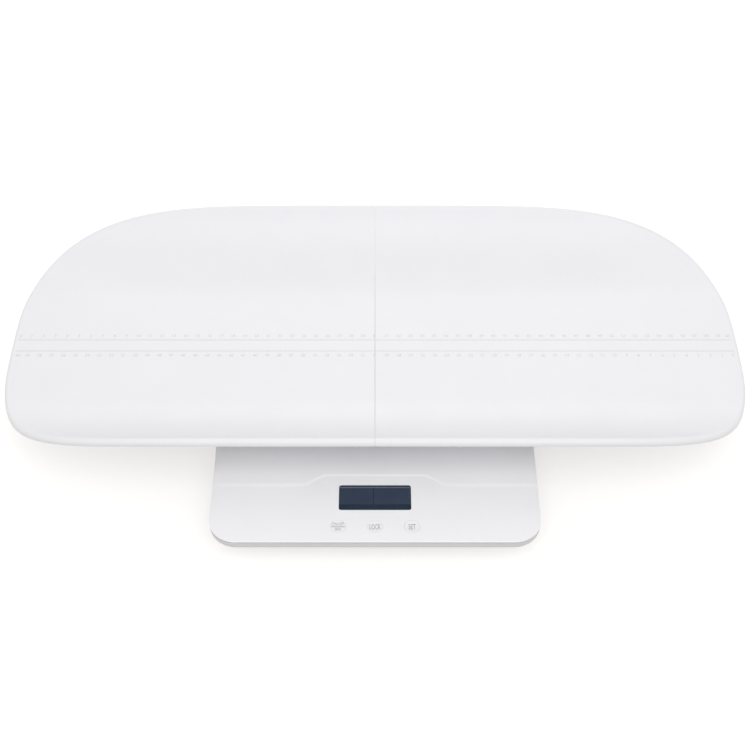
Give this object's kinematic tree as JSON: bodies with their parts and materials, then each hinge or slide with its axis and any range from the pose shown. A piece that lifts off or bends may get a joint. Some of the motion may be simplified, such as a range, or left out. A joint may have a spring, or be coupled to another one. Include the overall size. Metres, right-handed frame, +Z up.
{
  "type": "digital baby weighing scale",
  "caption": "Baby scale: a shallow two-piece trough tray with a moulded ruler, on a low base with a display, keys and sensing feet.",
  "frame": {"origin": "on the floor, under the middle of the whole scale's bounding box", "axes": "+Z up, +X along the ruler to the right, -Y towards the display and the person who reads it"},
  "size_m": [0.61, 0.3272, 0.0891],
  "materials": {
    "tray_plastic": "smooth white, soft gloss",
    "case_plastic": "fine satin white",
    "window_lens": "polished dark blue tint",
    "lcd_glass": "dark liquid crystal panel",
    "diffuser": "milky",
    "elastomer": "matt striped rubber",
    "circuit_board": "green solder resist",
    "chip_resin": "matt black",
    "key_plastic": "satin white",
    "switch_plastic": "matt black",
    "steel": "plain zinc grey",
    "holder_plastic": "satin light grey",
    "pad_rubber": "matt dark grey",
    "battery_jacket": "gloss green jacket",
    "lead_white": "satin insulation",
    "lead_red": "satin insulation",
    "lead_black": "satin insulation"
  },
  "bodies": {
    "base": {"base_top_cover": "case_plastic", "base_bottom_shell": "case_plastic", "display_window": "window_lens", "lcd_panel": "lcd_glass", "lcd_backlight": "diffuser", "lcd_connector_strip": "elastomer", "main_circuit_board": "circuit_board", "controller_chip": "chip_resin", "switch_body_power": "switch_plastic", "switch_body_hold": "switch_plastic", "switch_body_unit": "switch_plastic", "load_cell_front_left": "steel", "load_cell_front_right": "steel", "load_cell_rear_left": "steel", "load_cell_rear_right": "steel", "load_cell_holder_front_left": "holder_plastic", "load_cell_holder_front_right": "holder_plastic", "load_cell_holder_rear_left": "holder_plastic", "load_cell_holder_rear_right": "holder_plastic", "case_screw_1": "steel", "case_screw_2": "steel", "case_screw_3": "steel", "case_screw_4": "steel", "case_screw_5": "steel", "case_screw_6": "steel", "board_screw_1": "steel", "board_screw_2": "steel", "board_screw_3": "steel", "board_screw_4": "steel", "battery_1": "battery_jacket", "battery_2": "battery_jacket", "battery_3": "battery_jacket", "battery_contact_left": "steel", "battery_contact_right": "steel", "lead_front_left": "lead_white", "lead_front_right": "lead_white", "lead_rear_left": "lead_white", "lead_rear_right": "lead_white", "battery_lead_red": "lead_red", "battery_lead_black": "lead_black"},
    "tray_left": {"tray_left": "tray_plastic"},
    "tray_right": {"tray_right": "tray_plastic"},
    "key_power": {"key_power": "key_plastic", "switch_plunger_power": "switch_plastic"},
    "key_hold": {"key_hold": "key_plastic", "switch_plunger_hold": "switch_plastic"},
    "key_unit": {"key_unit": "key_plastic", "switch_plunger_unit": "switch_plastic"},
    "battery_door": {"battery_door": "case_plastic"},
    "foot_front_left": {"foot_front_left": "holder_plastic", "foot_pad_front_left": "pad_rubber"},
    "foot_front_right": {"foot_front_right": "holder_plastic", "foot_pad_front_right": "pad_rubber"},
    "foot_rear_left": {"foot_rear_left": "holder_plastic", "foot_pad_rear_left": "pad_rubber"},
    "foot_rear_right": {"foot_rear_right": "holder_plastic", "foot_pad_rear_right": "pad_rubber"}
  },
  "joints": [
    {"name": "tray_lift", "type": "slide", "parent": "base", "child": "tray_left", "axis": [0, 0, 1], "range_m": [0, 0.08]},
    {"name": "tray_half_unhook", "type": "slide", "parent": "tray_left", "child": "tray_right", "axis": [0, 0, 1], "range_m": [0, 0.06]},
    {"name": "key_power_press", "type": "slide", "parent": "base", "child": "key_power", "axis": [0, 0, -1], "range_m": [0, 0.0005], "stiffness_N_per_m": 3000},
    {"name": "key_hold_press", "type": "slide", "parent": "base", "child": "key_hold", "axis": [0, 0, -1], "range_m": [0, 0.0005], "stiffness_N_per_m": 3000},
    {"name": "key_unit_press", "type": "slide", "parent": "base", "child": "key_unit", "axis": [0, 0, -1], "range_m": [0, 0.0005], "stiffness_N_per_m": 3000},
    {"name": "battery_door_slide", "type": "slide", "parent": "base", "child": "battery_door", "axis": [0, 1, 0], "range_m": [0, 0.046]},
    {"name": "foot_front_left_press", "type": "slide", "parent": "base", "child": "foot_front_left", "axis": [0, 0, 1], "range_m": [0, 0.0005], "stiffness_N_per_m": 40000},
    {"name": "foot_front_right_press", "type": "slide", "parent": "base", "child": "foot_front_right", "axis": [0, 0, 1], "range_m": [0, 0.0005], "stiffness_N_per_m": 40000},
    {"name": "foot_rear_left_press", "type": "slide", "parent": "base", "child": "foot_rear_left", "axis": [0, 0, 1], "range_m": [0, 0.0005], "stiffness_N_per_m": 40000},
    {"name": "foot_rear_right_press", "type": "slide", "parent": "base", "child": "foot_rear_right", "axis": [0, 0, 1], "range_m": [0, 0.0005], "stiffness_N_per_m": 40000}
  ]
}
